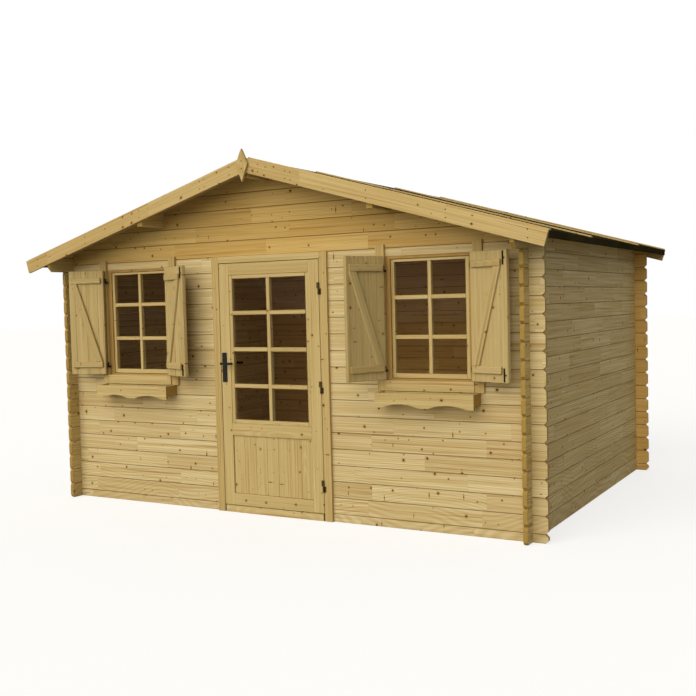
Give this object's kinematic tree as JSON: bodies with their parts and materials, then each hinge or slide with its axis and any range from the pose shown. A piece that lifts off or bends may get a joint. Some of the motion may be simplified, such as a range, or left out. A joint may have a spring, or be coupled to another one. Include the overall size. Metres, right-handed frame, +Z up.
{
  "type": "wooden garden shed",
  "caption": "Garden cabin of notched logs with a half-glazed door, shuttered windows with flower boxes and a low felted gable roof.",
  "frame": {"origin": "on the ground under the floor's middle bearer, at the plan centre of the log walls", "axes": "+X right along the front, +Y from the door into the room, +Z up"},
  "size_m": [4.29, 3.3416, 2.5945],
  "materials": {
    "log_pine": "planed spruce logs, untreated",
    "roof_timber": "planed spruce boards",
    "roof_felt": "mineral-faced bitumen felt",
    "trim_pine": "planed spruce trim",
    "joinery_pine": "planed spruce joinery",
    "shutter_pine": "planed spruce boards",
    "glass": "clear float glass",
    "black_iron": "black painted iron",
    "hinge_steel": "bronzed steel"
  },
  "bodies": {
    "cabin": {"left_wall": "log_pine", "right_wall": "log_pine", "back_wall": "log_pine", "back_gable": "log_pine", "front_gable": "log_pine", "front_wall_left": "log_pine", "front_wall_right": "log_pine", "eave_logs": "log_pine", "purlins": "roof_timber", "left_roof_deck": "roof_timber", "right_roof_deck": "roof_timber", "floor_boards": "roof_timber", "floor_bearers": "roof_timber", "left_roof_felt": "roof_felt", "right_roof_felt": "roof_felt", "roof_battens": "trim_pine", "front_bargeboards": "trim_pine", "back_bargeboards": "trim_pine", "finial": "trim_pine", "door_jambs": "joinery_pine", "door_head": "joinery_pine", "door_threshold": "joinery_pine", "left_window_posts": "joinery_pine", "left_window_casement": "joinery_pine", "left_window_sill": "joinery_pine", "right_window_posts": "joinery_pine", "right_window_casement": "joinery_pine", "right_window_sill": "joinery_pine", "left_flower_box": "shutter_pine", "right_flower_box": "shutter_pine", "left_window_glass": "glass", "right_window_glass": "glass", "left_window_pins": "black_iron", "right_window_pins": "black_iron", "frame_hinges": "hinge_steel"},
    "door": {"door_leaf": "joinery_pine", "door_panel": "joinery_pine", "door_glass": "glass", "door_handle_plates": "black_iron", "door_hinges": "hinge_steel"},
    "lever": {"door_lever": "black_iron"},
    "left_window_left_shutter": {"left_window_left_shutter": "shutter_pine", "left_window_left_straps": "black_iron"},
    "left_window_right_shutter": {"left_window_right_shutter": "shutter_pine", "left_window_right_straps": "black_iron"},
    "right_window_left_shutter": {"right_window_left_shutter": "shutter_pine", "right_window_left_straps": "black_iron"},
    "right_window_right_shutter": {"right_window_right_shutter": "shutter_pine", "right_window_right_straps": "black_iron"}
  },
  "joints": [
    {"name": "door_hinge", "type": "hinge", "parent": "cabin", "child": "door", "pos_m": [0.4295, -1.4395, 0.94], "axis": [0, 0, 1], "range_deg": [0, 110]},
    {"name": "lever_turn", "type": "hinge", "parent": "door", "child": "lever", "pos_m": [-0.395, -1.412, 1.101], "axis": [0, 1, 0], "range_deg": [0, 40], "stiffness_Nm_per_rad": 1.5, "springref_deg": -20.05},
    {"name": "left_window_left_shutter_hinge", "type": "hinge", "parent": "cabin", "child": "left_window_left_shutter", "pos_m": [-1.5325, -1.448, 1.416], "axis": [0, 0, -1], "range_deg": [-162.9, 12.1]},
    {"name": "left_window_right_shutter_hinge", "type": "hinge", "parent": "cabin", "child": "left_window_right_shutter", "pos_m": [-0.9125, -1.448, 1.416], "axis": [0, 0, 1], "range_deg": [-155.7, 19.3]},
    {"name": "right_window_left_shutter_hinge", "type": "hinge", "parent": "cabin", "child": "right_window_left_shutter", "pos_m": [0.9427, -1.448, 1.416], "axis": [0, 0, -1], "range_deg": [-119.16, 55.84]},
    {"name": "right_window_right_shutter_hinge", "type": "hinge", "parent": "cabin", "child": "right_window_right_shutter", "pos_m": [1.5627, -1.448, 1.416], "axis": [0, 0, 1], "range_deg": [-160.56, 14.44]}
  ]
}
